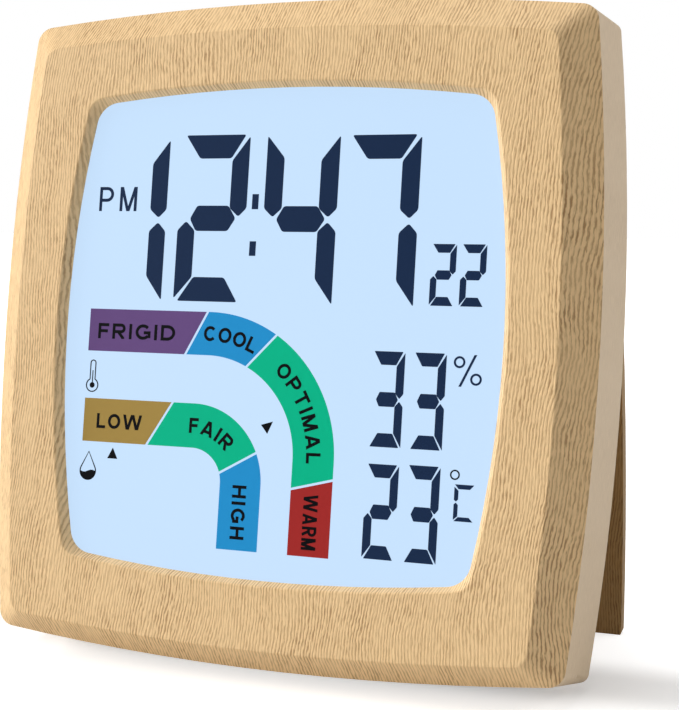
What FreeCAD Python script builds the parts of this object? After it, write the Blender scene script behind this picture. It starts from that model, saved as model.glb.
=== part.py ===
import FreeCAD, Part
import math
import os

Vector = FreeCAD.Vector

# A free-standing home weather station: a bowed, wood-look case with a colour display,
# propped up by a panel that folds out of its back.
# Everything is built upright (x right, y to the back, z up, face plane at y = 0)
# and is leaned back onto its stand when it is saved.

# Case
case_width = 110.4
case_height = 114.4
case_depth = 23.4
bow_radius = 475.0
case_corner = 3.1
back_corner = 1.6
back_bow_radius = 985.0
case_wall = 2.0
back_edge_radius = 1.0
inner_edge_radius = 0.5
lean = 8.9

# Front frame
chamfer_depth = 4.9
chamfer_side = 5.5
chamfer_top = 5.7
chamfer_bottom = 3.7
ridge_corner = 2.5
frame_side = 13.85
frame_top = 14.65
window_drop = 0.2
window_side_radius = 192.0
window_top_radius = 280.0
window_corner = 3.2
film_corner = 4.4
window_bevel_side = 1.05
window_bevel_top = 0.75
window_depth = 1.9
ridge_round = 0.35
lip_height = 2.5
lip_thickness = 1.2
lip_gap = 0.1

# Display stack, front to back
polariser_thickness = 0.2
glass_thickness = 0.7
guide_thickness = 2.0
reflector_thickness = 0.2
glass_overlap = 1.5
ledge_height = 2.5
pocket_gap = 0.3
holder_depth = 2.7
holder_bar = 3.0
ear_width = 6.0
ear_reach = 5.0

# Circuit board
board_thickness = 1.2
board_margin = 12.0
board_gap = 5.65
post_radius = 2.5

# Screws
screw_radius = 1.1
screw_gap = 0.05
head_radius = 2.2
head_height = 1.3

# Buttons
button_count = 4
button_pitch = 15.0
button_radius = 3.4
button_travel = 0.5
button_sink = 0.3
button_gap = 0.08
flange_radius = 4.6
flange_thickness = 1.0
stem_radius = 1.6
switch_size = 6.0
switch_height = 3.5
plunger_radius = 1.5
plunger_height = 0.9

# Battery compartment for two AAA cells
cell_radius = 5.25
cell_length = 44.5
cell_nub_radius = 1.9
cell_nub_length = 1.2
cell_spacing = 0.7
cell_gap = 0.35
contact_space = 2.45
contact_thickness = 0.4
bay_wall = 1.2
bay_bottom_offset = 11.5
door_margin = 1.6
door_travel = 6.0
door_gap = 0.15
tongue_width = 1.4
tongue_thickness = 0.9

# Stand
stand_margin = 4.25
stand_bow_radius = 1016.0
stand_corner = 1.0
stand_thickness = 2.6
stand_space = 0.5
hinge_drop = 8.2
hinge_offset = 2.4
hinge_margin = 21.0
barrel_radius = 2.1
barrel_width = 7.6
lug_width = 3.0
lug_gap = 0.2
pin_radius = 0.9
pin_gap = 0.03
stand_reach = 19.1

# Vents
vent_count = 6
vent_pitch = 2.6
vent_width = 1.2
vent_height = 9.0

# Derived positions
half_width = case_width / 2
half_height = case_height / 2
back_inside = case_depth - case_wall
lean_sin = math.sin(math.radians(lean))
lean_cos = math.cos(math.radians(lean))
window_width = case_width - 2 * frame_side
window_height = case_height - 2 * frame_top
glass_half_width = window_width / 2 + glass_overlap
glass_half_height = window_height / 2 + glass_overlap
glass_top = glass_half_height + ledge_height
front_glass_y = window_depth + polariser_thickness
rear_glass_y = front_glass_y + glass_thickness
rear_film_y = rear_glass_y + glass_thickness
guide_y = rear_film_y + polariser_thickness
reflector_y = guide_y + guide_thickness
reflector_back = reflector_y + reflector_thickness
holder_back = chamfer_depth + holder_depth
cell_y = back_inside - cell_gap - cell_radius
bay_front = cell_y - cell_radius - cell_gap
board_front = bay_front
board_back = board_front + board_thickness
board_half_width = half_width - board_margin - 5.0
board_top = glass_top + 0.5
button_z = half_height - 21.0
case_screw_x = half_width - 8.0
case_screw_z = half_height - 12.0
ear_z = 22.0
cell_pitch = 2 * cell_radius + cell_spacing
bay_z = -half_height + bay_bottom_offset + cell_pitch
bay_half_width = cell_length / 2 + contact_space
bay_half_height = cell_pitch / 2 + cell_radius + 0.6
board_bottom = bay_z + bay_half_height + bay_wall + board_gap
door_half_width = bay_half_width + bay_wall + door_margin
door_half_height = bay_half_height + bay_wall + door_margin
hinge_y = case_depth + hinge_offset
hinge_z = half_height - hinge_drop
hinge_x = half_width - hinge_margin
stand_width = case_width - 2 * stand_margin


def bow(radius, half_length):
    """How far an arc of this radius stands out over its half length."""
    return radius - math.sqrt(radius ** 2 - half_length ** 2)


def box(x0, x1, y0, y1, z0, z1):
    """A block between two opposite corners."""
    return Part.makeBox(x1 - x0, y1 - y0, z1 - z0, Vector(x0, y0, z0))


def round_bar(radius, length, x, y, z, along):
    """A cylinder from a point, along x, y or z."""
    return Part.makeCylinder(radius, length, Vector(x, y, z), along)


ALONG_X = Vector(1, 0, 0)
ALONG_Y = Vector(0, 1, 0)
ALONG_Z = Vector(0, 0, 1)


def bowed_corner(x_end, z_end, side_radius, end_radius):
    """Where the arcs of two neighbouring sides meet."""
    x = x_end
    z = z_end
    for _ in range(20):
        x = x_end - bow(side_radius, z)
        z = z_end - bow(end_radius, x)
    return x, z


def bowed_block(width, height, radii, corner, y, depth, z_shift=0.0):
    """A block with four bowed sides and rounded corners. Radii: left and right, top and bottom."""
    x_end = width / 2
    z_end = height / 2
    x_corner, z_corner = bowed_corner(x_end, z_end, radii[0], radii[1])
    corners = [
        Vector(-x_corner, y, z_shift - z_corner),
        Vector(x_corner, y, z_shift - z_corner),
        Vector(x_corner, y, z_shift + z_corner),
        Vector(-x_corner, y, z_shift + z_corner),
    ]
    middles = [
        Vector(0, y, z_shift - z_end),
        Vector(x_end, y, z_shift),
        Vector(0, y, z_shift + z_end),
        Vector(-x_end, y, z_shift),
    ]
    edges = []
    for i in range(4):
        edges.append(Part.Arc(corners[i], middles[i], corners[(i + 1) % 4]).toShape())
    block = Part.Face(Part.Wire(edges)).extrude(Vector(0, depth, 0))
    upright = [e for e in block.Edges if runs_to_the_back(e)]
    return block.makeFillet(corner, upright)


def runs_to_the_back(edge):
    """True for a straight edge that runs along y."""
    start = edge.Vertexes[0].Point
    end = edge.Vertexes[-1].Point
    return abs(start.x - end.x) < 1e-6 and abs(start.z - end.z) < 1e-6 and abs(start.y - end.y) > 1e-3


def outline_at(block, y):
    """The outline of a block's flat face at this y."""
    for face in block.Faces:
        if face.BoundBox.YLength < 1e-4 and abs(face.CenterOfMass.y - y) < 1e-4:
            return face.OuterWire
    raise ValueError("no face at this depth")


def bevel_between(front, back, y_front, y_back):
    """A solid that runs straight from one outline to another."""
    wires = [outline_at(front, y_front), outline_at(back, y_back)]
    return Part.makeLoft(wires, True, True)


def case_block(inset, y, depth):
    """The case outline, moved in by an inset."""
    radius = bow_radius - inset
    return bowed_block(case_width - 2 * inset, case_height - 2 * inset, [radius, radius],
                       max(case_corner - inset, 0.8), y, depth)


def flared_case():
    """The outside of the rear housing. Its top and bottom are flatter at the back, so it stands firmly."""
    front = case_block(0.0, chamfer_depth, 1.0)
    back = bowed_block(case_width, case_height, [bow_radius, back_bow_radius], back_corner, case_depth, 1.0)
    return bevel_between(front, back, chamfer_depth, case_depth)


def edges_at(block, y):
    """The edges that lie in the plane at this y."""
    found = []
    for edge in block.Edges:
        if edge.BoundBox.YLength < 1e-4 and abs(edge.BoundBox.YMin - y) < 1e-4:
            found.append(edge)
    return found


def screw(x, y, z, length):
    """A pan-head screw driven towards the front, its head seat at y."""
    head = round_bar(head_radius, head_height, x, y, z, ALONG_Y)
    rim = [e for e in head.Edges if abs(e.BoundBox.YMin - y - head_height) < 1e-4]
    head = head.makeFillet(head_height * 0.4, rim)
    slot_a = box(x - 1.2, x + 1.2, y + head_height * 0.5, y + head_height + 1, z - 0.25, z + 0.25)
    slot_b = box(x - 0.25, x + 0.25, y + head_height * 0.5, y + head_height + 1, z - 1.2, z + 1.2)
    head = head.cut(slot_a).cut(slot_b)
    shank = round_bar(screw_radius, length, x, y - length, z, ALONG_Y)
    return head.fuse(shank).removeSplitter()


def mirrored_points(x, z):
    """The four points that mirror one point left-right and up-down."""
    return [(x, z), (-x, z), (x, -z), (-x, -z)]


def holder_screw_points():
    return mirrored_points(glass_half_width + pocket_gap + ear_reach / 2, ear_z)


def case_screw_points():
    return mirrored_points(case_screw_x, case_screw_z)


def board_screw_points():
    x = board_half_width - 4.0
    return [(x, board_bottom + 5), (-x, board_bottom + 5), (x, board_top - 17), (-x, board_top - 17)]


def button_points():
    start = -button_pitch * (button_count - 1) / 2 - 6.0
    return [(start + i * button_pitch, button_z) for i in range(button_count)]


# Front frame and rear housing

def front_frame():
    ridge_width = case_width - 2 * chamfer_side
    ridge_height = case_height - chamfer_top - chamfer_bottom
    ridge_shift = (chamfer_bottom - chamfer_top) / 2
    ridge = bowed_block(ridge_width, ridge_height, [bow_radius, bow_radius], ridge_corner, 0.0, 1.0,
                        ridge_shift)
    rear = case_block(0.0, chamfer_depth, 1.0)
    frame = bevel_between(ridge, rear, 0.0, chamfer_depth)
    lip_inset = case_wall + lip_gap
    lip = case_block(lip_inset, chamfer_depth, lip_height)
    lip = lip.cut(case_block(lip_inset + lip_thickness, chamfer_depth, lip_height))
    frame = frame.fuse(lip)
    for x, z in case_screw_points():
        boss = round_bar(3.0, board_front, x, chamfer_depth - 0.4, z, ALONG_Y)
        frame = frame.fuse(boss)
    frame = frame.cut(window_cutter())
    frame = frame.makeFillet(ridge_round, edges_at(frame, 0.0))
    frame = frame.cut(display_pocket())
    for x, z in case_screw_points():
        frame = frame.cut(round_bar(screw_radius + screw_gap, 20.0, x, 3.0, z, ALONG_Y))
    for x, z in holder_screw_points():
        frame = frame.cut(round_bar(screw_radius + screw_gap, 10.0, x, 1.6, z, ALONG_Y))
    return frame.removeSplitter()


def window_cutter():
    radii = [window_side_radius, window_top_radius]
    front = bowed_block(window_width, window_height, radii, window_corner, 0.0, 1.0, -window_drop)
    inner = bowed_block(window_width - 2 * window_bevel_side, window_height - 2 * window_bevel_top,
                        radii, film_corner, window_depth, chamfer_depth, -window_drop)
    bevel = bevel_between(front, inner, 0.0, window_depth)
    return bevel.fuse(inner)


def display_pocket():
    half_x = glass_half_width + pocket_gap
    low = -glass_half_height - pocket_gap
    high = glass_top + pocket_gap
    return box(-half_x, half_x, window_depth, chamfer_depth + 0.01, low, high)


def rear_housing():
    shell = flared_case()
    shell = shell.makeFillet(back_edge_radius, edges_at(shell, case_depth))
    cavity = case_block(case_wall, chamfer_depth, back_inside - chamfer_depth)
    cavity = cavity.makeFillet(inner_edge_radius, edges_at(cavity, back_inside))
    shell = shell.cut(cavity)
    for part in [battery_bay(), case_posts(), board_posts(), hinge_lugs()]:
        shell = shell.fuse(part)
    for cutter in [bay_cutter(), case_screw_cutter(), board_screw_cutter(), vent_cutter()]:
        shell = shell.cut(cutter)
    for x, z in button_points():
        hole = round_bar(button_radius + button_gap, case_wall + 2, x, back_inside - 1, z, ALONG_Y)
        shell = shell.cut(hole)
    shell = shell.cut(hinge_bore())
    return shell.removeSplitter()


def battery_bay():
    """The walls around the cells, and the floor of the thumb recess under the door."""
    x = bay_half_width + bay_wall
    z = bay_half_height + bay_wall
    walls = box(-x, x, bay_front - bay_wall, back_inside - 0.1, bay_z - z, bay_z + z)
    low = bay_z - door_half_height - door_travel - 0.6
    floor = box(-x, x, back_inside - 1.4, back_inside - 0.1, low, bay_z - z)
    skirt = box(-x, x, back_inside - 0.1, back_inside, low, low + 0.6)
    return walls.fuse(floor).fuse(skirt)


def bay_cutter():
    """The hollow for the cells, the door opening and the slots for the contact tabs."""
    hollow = box(-bay_half_width, bay_half_width, bay_front, case_depth + 1,
                 bay_z - bay_half_height, bay_z + bay_half_height)
    x = door_half_width + door_gap
    opening = box(-x, x, back_inside - 0.1, case_depth + 1,
                  bay_z - door_half_height - door_travel - door_gap, bay_z + door_half_height + door_gap)
    cutter = hollow.fuse(opening)
    slot = box(bay_half_width - 3.5, bay_half_width, board_back - 0.1, board_back + contact_thickness + 0.1,
               bay_z + bay_half_height - 0.1, bay_z + bay_half_height + bay_wall + 0.1)
    return cutter.fuse(slot)


def case_posts():
    posts = []
    start = chamfer_depth - 0.4 + board_front
    for x, z in case_screw_points():
        posts.append(round_bar(3.4, back_inside - start + 0.2, x, start, z, ALONG_Y))
    return posts[0].fuse(posts[1:])


def case_screw_cutter():
    cutters = []
    seat = case_depth - head_height - 2.5
    for x, z in case_screw_points():
        cutters.append(round_bar(screw_radius + screw_gap, 30.0, x, chamfer_depth, z, ALONG_Y))
        cutters.append(round_bar(head_radius + 0.2, 10.0, x, seat, z, ALONG_Y))
    return cutters[0].fuse(cutters[1:])


def board_posts():
    posts = []
    for x, z in board_screw_points():
        posts.append(round_bar(post_radius, back_inside - board_back + 0.2, x, board_back, z, ALONG_Y))
    return posts[0].fuse(posts[1:])


def board_screw_cutter():
    cutters = []
    for x, z in board_screw_points():
        cutters.append(round_bar(screw_radius + screw_gap, 7.0, x, board_back, z, ALONG_Y))
    return cutters[0].fuse(cutters[1:])


def vent_cutter():
    cutters = []
    start = half_width - 9.5 - vent_pitch * vent_count
    for i in range(vent_count):
        x = start + i * vent_pitch
        cutters.append(box(x, x + vent_width, back_inside - 1, case_depth + 1,
                           button_z - vent_height / 2, button_z + vent_height / 2))
    return cutters[0].fuse(cutters[1:])


# Display stack

def display_sheet(y, thickness, inset, top):
    """One thin sheet of the display."""
    x = glass_half_width - inset
    return box(-x, x, y, y + thickness, -glass_half_height + inset, top)


def front_polariser():
    return display_sheet(window_depth, polariser_thickness, 0.4, glass_half_height - 0.4)


def front_glass():
    return display_sheet(front_glass_y, glass_thickness, 0.0, glass_half_height)


def rear_glass():
    return display_sheet(rear_glass_y, glass_thickness, 0.0, glass_top)


def rear_polariser():
    return display_sheet(rear_film_y, polariser_thickness, 0.8, glass_half_height - 0.8)


def light_guide():
    return display_sheet(guide_y, guide_thickness, 1.5, glass_half_height - 1.5)


def reflector():
    return display_sheet(reflector_y, reflector_thickness, 1.5, glass_half_height - 1.5)


def backlight_leds():
    top = -glass_half_height + 1.5
    leds = []
    for x in [-20.0, 0.0, 20.0]:
        leds.append(box(x - 1.5, x + 1.5, guide_y + 0.3, guide_y + 1.6, top - 0.9, top))
    return Part.makeCompound(leds)


def led_strip():
    top = -glass_half_height + 0.6
    return box(-25.0, 25.0, guide_y + 0.1, guide_y + 1.8, top - 0.5, top)


def display_holder():
    """A frame that clamps the display against the front frame, with four screw ears."""
    x = glass_half_width + pocket_gap + 0.7
    low = -glass_half_height - 2.5
    high = glass_half_height - 0.3
    holder = box(-x, x, chamfer_depth, holder_back, low, high)
    for px, pz in holder_screw_points():
        reach = math.copysign(ear_reach, px)
        x0, x1 = sorted([px - reach / 2 - math.copysign(0.5, px), px + reach / 2])
        holder = holder.fuse(box(x0, x1, chamfer_depth, holder_back, pz - ear_width / 2, pz + ear_width / 2))
    inner = glass_half_width - 1.3
    holder = holder.cut(box(-inner, inner, chamfer_depth - 1, reflector_back,
                            -glass_half_height + 1.3, glass_half_height - 1.3))
    holder = holder.cut(box(-26.0, 26.0, chamfer_depth - 1, reflector_back,
                            -glass_half_height - 0.1, -glass_half_height + 1.5))
    open_x = inner - holder_bar + 1.3
    holder = holder.cut(box(-open_x, open_x, chamfer_depth - 1, holder_back + 1,
                            -glass_half_height + holder_bar, glass_half_height - holder_bar - 1.0))
    for px, pz in holder_screw_points():
        holder = holder.cut(round_bar(screw_radius + screw_gap, 10.0, px, chamfer_depth - 1, pz, ALONG_Y))
    return holder.removeSplitter()


def holder_screws():
    length = holder_depth + 2.8
    return Part.makeCompound([screw(x, holder_back, z, length) for x, z in holder_screw_points()])


def zebra_strip():
    z = glass_half_height + 0.3
    x = board_half_width - 6.0
    return box(-x, x, rear_film_y, board_front, z, z + 2.0)


# Electronics

def main_board():
    board = box(-board_half_width, board_half_width, board_front, board_back, board_bottom, board_top)
    for x, z in board_screw_points():
        board = board.cut(round_bar(screw_radius + screw_gap, 10.0, x, board_front - 1, z, ALONG_Y))
    return board


def board_screws():
    """Screws from the display side into the housing's posts."""
    screws = []
    for x, z in board_screw_points():
        one = screw(x, 0.0, z, board_thickness + 5.5)
        one.rotate(Vector(x, 0, z), ALONG_Z, 180)
        one.translate(Vector(0, board_front, 0))
        screws.append(one)
    return Part.makeCompound(screws)


def controller_blob():
    blob = round_bar(5.5, 1.3, 8.0, board_back, button_z - 24.0, ALONG_Y)
    return blob.makeFillet(1.0, [e for e in blob.Edges if abs(e.BoundBox.YMin - board_back - 1.3) < 1e-4])


def buzzer():
    z = button_z - 26.0
    disc = round_bar(6.0, 2.6, -18.0, board_back, z, ALONG_Y)
    return disc.cut(round_bar(1.0, 1.0, -18.0, board_back + 1.8, z, ALONG_Y))


def clock_crystal():
    return round_bar(1.0, 6.0, 18.0, board_back + 1.0, board_bottom + 12.0, ALONG_X)


def climate_sensor():
    x = board_half_width - 4.0
    body = box(x - 1.5, x + 1.5, board_back, board_back + 1.1, button_z - 1.5, button_z + 1.5)
    return body.cut(round_bar(0.6, 1.0, x, board_back + 0.7, button_z, ALONG_Y))


def key_switches():
    switches = []
    half = switch_size / 2
    for x, z in button_points():
        body = box(x - half, x + half, board_back, board_back + switch_height, z - half, z + half)
        plunger = round_bar(plunger_radius, plunger_height, x, board_back + switch_height, z, ALONG_Y)
        switches.append(body.fuse(plunger))
    return Part.makeCompound(switches)


def button(index):
    x, z = button_points()[index]
    stem_end = board_back + switch_height + plunger_height + button_travel + 0.1
    stem = round_bar(stem_radius, back_inside - stem_end, x, stem_end, z, ALONG_Y)
    flange = round_bar(flange_radius, flange_thickness, x, back_inside - flange_thickness, z, ALONG_Y)
    cap_top = case_depth - button_sink
    cap = round_bar(button_radius, cap_top - back_inside, x, back_inside, z, ALONG_Y)
    cap = cap.makeFillet(0.4, [e for e in cap.Edges if abs(e.BoundBox.YMin - cap_top) < 1e-4])
    return stem.fuse(flange).fuse(cap).removeSplitter()


# Batteries, contacts and door

def cell_z(index):
    return bay_z + (0.5 - index) * cell_pitch


def battery(index):
    """An AAA cell. Cell 0 points right, cell 1 points left."""
    z = cell_z(index)
    body = round_bar(cell_radius, cell_length - cell_nub_length, -cell_length / 2, cell_y, z, ALONG_X)
    ends = [e for e in body.Edges if e.BoundBox.XLength < 1e-4]
    body = body.makeFillet(0.4, ends)
    nub_start = cell_length / 2 - cell_nub_length
    cell = body.fuse(round_bar(cell_nub_radius, cell_nub_length, nub_start, cell_y, cell_z(index), ALONG_X))
    if index == 1:
        cell.rotate(Vector(0, cell_y, cell_z(index)), ALONG_Z, 180)
    return cell


def contact_plate(index):
    """An upright plate behind one cell's end, on the right of the bay."""
    x = bay_half_width
    z = cell_z(index)
    return box(x - contact_thickness, x, board_back, cell_y + 4.0, z - 4.4, z + 4.4)


def contact_leaf(index):
    """The bent spring leaf that meets the flat end of a cell."""
    x = bay_half_width - contact_thickness
    tip = cell_length / 2
    t = contact_thickness
    corners = [
        Vector(x, cell_y - 3.6, 0),
        Vector(tip, cell_y - 0.5, 0),
        Vector(tip, cell_y + 0.5, 0),
        Vector(x, cell_y + 3.6, 0),
        Vector(x, cell_y + 3.6 - 2 * t, 0),
        Vector(tip + t, cell_y, 0),
        Vector(x, cell_y - 3.6 + 2 * t, 0),
        Vector(x, cell_y - 3.6, 0),
    ]
    leaf = Part.Face(Part.makePolygon(corners)).extrude(Vector(0, 0, 4.0))
    leaf.translate(Vector(0, 0, cell_z(index) - 2.0))
    return leaf


def contact_button(index):
    """The raised dimple that meets the nub of a cell."""
    tip = cell_length / 2
    length = bay_half_width - contact_thickness - tip
    return round_bar(2.4, length, tip, cell_y, cell_z(index), ALONG_X)


def battery_contacts():
    """The two separate contacts on the right. The upper one has a tab to the board."""
    upper = contact_plate(0).fuse(contact_button(0))
    x = bay_half_width
    top = cell_z(0) + 4.4
    tab = box(x - 3.4, x, board_back, board_back + contact_thickness, top - 1.0, board_bottom + 4.0)
    upper = upper.fuse(tab).removeSplitter()
    lower = contact_plate(1).fuse(contact_leaf(1)).removeSplitter()
    return Part.makeCompound([upper, lower])


def contact_bridge():
    """The joined contact on the left, one piece across both cells."""
    x = bay_half_width
    plate = box(x - contact_thickness, x, board_back, cell_y + 4.0, cell_z(1) - 4.4, cell_z(0) + 4.4)
    bridge = plate.fuse(contact_leaf(0)).fuse(contact_button(1)).removeSplitter()
    return bridge.mirror(Vector(0, 0, 0), ALONG_X)


def battery_door():
    x = door_half_width
    z0 = bay_z - door_half_height
    z1 = bay_z + door_half_height
    door = box(-x, x, back_inside, case_depth, z0, z1)
    outer = door_half_width + tongue_width
    inner = door_half_width - tongue_width + 0.2
    tongue_top = back_inside - 0.1
    for side in [-1, 1]:
        xs = sorted([side * inner, side * outer])
        door = door.fuse(box(xs[0], xs[1], tongue_top - tongue_thickness, tongue_top, z0 + 2.0, z1 - 2.0))
        neck = sorted([side * inner, side * door_half_width])
        door = door.fuse(box(neck[0], neck[1], tongue_top - 0.01, back_inside + 0.01, z0 + 2.0, z1 - 2.0))
    for i in range(5):
        z = z0 + 4.0 + i * 1.8
        door = door.cut(box(-9.0, 9.0, case_depth - 0.5, case_depth + 1, z, z + 0.8))
    return door.removeSplitter()


# Stand

def hinge_stations():
    return [-hinge_x, hinge_x]


def hinge_lugs():
    """Two pairs of rounded lugs on the back of the housing."""
    lugs = []
    for x in hinge_stations():
        for side in [-1, 1]:
            centre = x + side * (barrel_width / 2 + lug_gap + lug_width / 2)
            x0 = centre - lug_width / 2
            eye = round_bar(barrel_radius, lug_width, x0, hinge_y, hinge_z, ALONG_X)
            web = box(x0, x0 + lug_width, back_inside + 0.5, hinge_y,
                      hinge_z - barrel_radius, hinge_z + barrel_radius)
            lugs.append(eye.fuse(web))
    return lugs[0].fuse(lugs[1:])


def hinge_bore():
    bores = []
    length = barrel_width + 2 * lug_gap + 2 * lug_width
    for x in hinge_stations():
        start = x - length / 2 - 1
        bores.append(round_bar(pin_radius + pin_gap, length + 2, start, hinge_y, hinge_z, ALONG_X))
    return bores[0].fuse(bores[1:])


def hinge_pins():
    pins = []
    length = barrel_width + 2 * lug_gap + 2 * lug_width
    for x in hinge_stations():
        pins.append(round_bar(pin_radius, length, x - length / 2, hinge_y, hinge_z, ALONG_X))
    return Part.makeCompound(pins)


def rest_height():
    """Height of the face centre over the table, with the case on its lower back edge."""
    low_z = -half_height + back_edge_radius
    low_y = case_depth - back_edge_radius
    lowest = low_z * lean_cos - low_y * lean_sin - back_edge_radius
    return -lowest


def hinge_height():
    return rest_height() + hinge_z * lean_cos - hinge_y * lean_sin


def stand_angle():
    """How far the panel opens from the back of the case, in degrees."""
    return math.degrees(math.atan2(stand_reach, hinge_height())) + lean


def stand_length():
    return math.hypot(hinge_height(), stand_reach)


def stand_panel():
    top = hinge_z - barrel_radius - 0.6
    open_slope = math.tan(math.radians(stand_angle() - lean))
    bottom = hinge_z - stand_length() - (stand_space + stand_thickness - hinge_offset) * open_slope
    y0 = case_depth + stand_space
    middle = (top + bottom) / 2
    panel = bowed_panel(stand_width, top, bottom, middle, y0)
    for x in hinge_stations():
        x0 = x - barrel_width / 2
        panel = panel.fuse(round_bar(barrel_radius, barrel_width, x0, hinge_y, hinge_z, ALONG_X))
        panel = panel.fuse(box(x0, x0 + barrel_width, hinge_y - 1.4, y0 + stand_thickness,
                               top - 1.0, hinge_z))
    panel.rotate(Vector(0, hinge_y, hinge_z), ALONG_X, stand_angle())
    for x in hinge_stations():
        x0 = x - barrel_width / 2
        stop = box(x0 + 0.5, x0 + barrel_width - 0.5, case_depth + 0.05, hinge_y, hinge_z, hinge_z + 3.4)
        panel = panel.fuse(stop)
    for x in hinge_stations():
        bore = round_bar(pin_radius + pin_gap, barrel_width + 2, x - barrel_width / 2 - 1,
                         hinge_y, hinge_z, ALONG_X)
        panel = panel.cut(bore)
    return panel.removeSplitter()


def bowed_panel(width, top, bottom, middle, y0):
    """A panel with bowed sides and straight ends. Its lower end is cut at the table later."""
    half_length = (top - bottom) / 2
    x_end = width / 2
    x_corner = x_end - bow(stand_bow_radius, half_length)
    low_left = Vector(-x_corner, y0, bottom)
    low_right = Vector(x_corner, y0, bottom)
    top_right = Vector(x_corner, y0, top)
    top_left = Vector(-x_corner, y0, top)
    sides = [
        Part.LineSegment(low_left, low_right).toShape(),
        Part.Arc(low_right, Vector(x_end, y0, middle), top_right).toShape(),
        Part.LineSegment(top_right, top_left).toShape(),
        Part.Arc(top_left, Vector(-x_end, y0, middle), low_left).toShape(),
    ]
    panel = Part.Face(Part.Wire(sides)).extrude(Vector(0, stand_thickness, 0))
    return panel.makeFillet(stand_corner, [e for e in panel.Edges if runs_to_the_back(e)])


# Placing and saving

def leaned(shape):
    """Lean a shape back and stand it at its height over the table."""
    copy = shape.copy()
    copy.rotate(Vector(0, 0, 0), ALONG_X, -lean)
    copy.translate(Vector(0, 0, rest_height()))
    return copy


def above_table(shape):
    """What of a shape is above the table."""
    size = 4 * case_height
    slab = box(-size, size, -size, size, 0.0, size)
    pieces = [solid.common(slab).removeSplitter() for solid in shape.Solids]
    return pieces[0] if len(pieces) == 1 else Part.makeCompound(pieces)


def all_nodes():
    nodes = {
        "front_frame": leaned(front_frame()),
        "rear_housing": leaned(rear_housing()),
        "lcd_front_film": leaned(front_polariser()),
        "lcd_front_glass": leaned(front_glass()),
        "lcd_rear_glass": leaned(rear_glass()),
        "lcd_rear_film": leaned(rear_polariser()),
        "light_guide": leaned(light_guide()),
        "reflector_film": leaned(reflector()),
        "backlight_leds": leaned(backlight_leds()),
        "led_strip": leaned(led_strip()),
        "lcd_holder": leaned(display_holder()),
        "holder_screws": leaned(holder_screws()),
        "zebra_strip": leaned(zebra_strip()),
        "main_board": leaned(main_board()),
        "board_screws": leaned(board_screws()),
        "controller_blob": leaned(controller_blob()),
        "buzzer": leaned(buzzer()),
        "clock_crystal": leaned(clock_crystal()),
        "climate_sensor": leaned(climate_sensor()),
        "key_switches": leaned(key_switches()),
        "battery_upper": leaned(battery(0)),
        "battery_lower": leaned(battery(1)),
        "battery_contacts": leaned(battery_contacts()),
        "contact_bridge": leaned(contact_bridge()),
        "battery_door": leaned(battery_door()),
        "case_screws": leaned(case_screws()),
        "hinge_pins": leaned(hinge_pins()),
        "stand_panel": above_table(leaned(stand_panel())),
    }
    names = ["button_mode", "button_up", "button_down", "button_unit"]
    for index, name in enumerate(names):
        nodes[name] = leaned(button(index))
    return nodes


def case_screws():
    seat = case_depth - head_height - 2.5
    return Part.makeCompound([screw(x, seat, z, seat - 4.5) for x, z in case_screw_points()])


def main():
    os.makedirs("parts", exist_ok=True)
    nodes = all_nodes()
    bounds = Part.makeCompound(list(nodes.values())).optimalBoundingBox(False, False)
    shift = Vector(-(bounds.XMin + bounds.XMax) / 2, -(bounds.YMin + bounds.YMax) / 2, 0)
    for name, shape in nodes.items():
        shape.translate(shift)
        shape.exportStep("parts/" + name + ".step")
        print(name, len(shape.Solids), shape.isValid(), round(shape.Volume, 2))
    print("size", bounds.XLength, bounds.YLength, bounds.ZLength, "low", bounds.ZMin)
    print("face centre", shift.y, rest_height())
    print("stand angle", stand_angle(), "length", stand_length())
    hinge_at = Vector(0, hinge_z * lean_sin + hinge_y * lean_cos + shift.y, hinge_height())
    print("hinge at", hinge_at)
    for x, z in button_points():
        print("button at", x, z * lean_sin + back_inside * lean_cos + shift.y,
              rest_height() + z * lean_cos - back_inside * lean_sin)
    print("door at", bay_z * lean_sin + back_inside * lean_cos + shift.y,
          rest_height() + bay_z * lean_cos - back_inside * lean_sin)


main()
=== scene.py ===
import bpy
import bmesh
import math
from mathutils import Matrix, Vector


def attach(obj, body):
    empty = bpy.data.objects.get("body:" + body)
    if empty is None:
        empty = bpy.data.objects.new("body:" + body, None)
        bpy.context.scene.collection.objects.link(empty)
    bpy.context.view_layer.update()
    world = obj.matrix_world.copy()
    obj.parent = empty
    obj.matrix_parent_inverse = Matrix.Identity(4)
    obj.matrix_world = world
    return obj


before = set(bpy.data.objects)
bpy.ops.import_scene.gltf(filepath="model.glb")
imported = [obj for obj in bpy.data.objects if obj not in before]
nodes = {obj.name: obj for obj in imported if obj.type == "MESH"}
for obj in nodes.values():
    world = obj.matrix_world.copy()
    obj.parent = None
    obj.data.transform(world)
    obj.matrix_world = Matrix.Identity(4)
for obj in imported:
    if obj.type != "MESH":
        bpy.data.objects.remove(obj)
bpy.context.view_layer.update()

# The case leans back. Local millimetres: x right, y into the case, z up the face.
LEAN = math.radians(8.9)
FACE_Y = -0.022314
FACE_Z = 0.059989
TO_ROW = Matrix.Translation((0, FACE_Y, FACE_Z)) @ Matrix.Rotation(-LEAN, 4, "X")


def local(x, y, z):
    """A point of the upright case, in mm, as a row-frame point in metres."""
    return TO_ROW @ Vector((x / 1000, y / 1000, z / 1000))


def srgb(r, g, b):
    """An 8-bit screen colour as the linear colour that a shader takes."""
    out = []
    for v in (r, g, b):
        v = v / 255
        out.append(v / 12.92 if v <= 0.04045 else ((v + 0.055) / 1.055) ** 2.4)
    return (*out, 1.0)


# Materials

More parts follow.
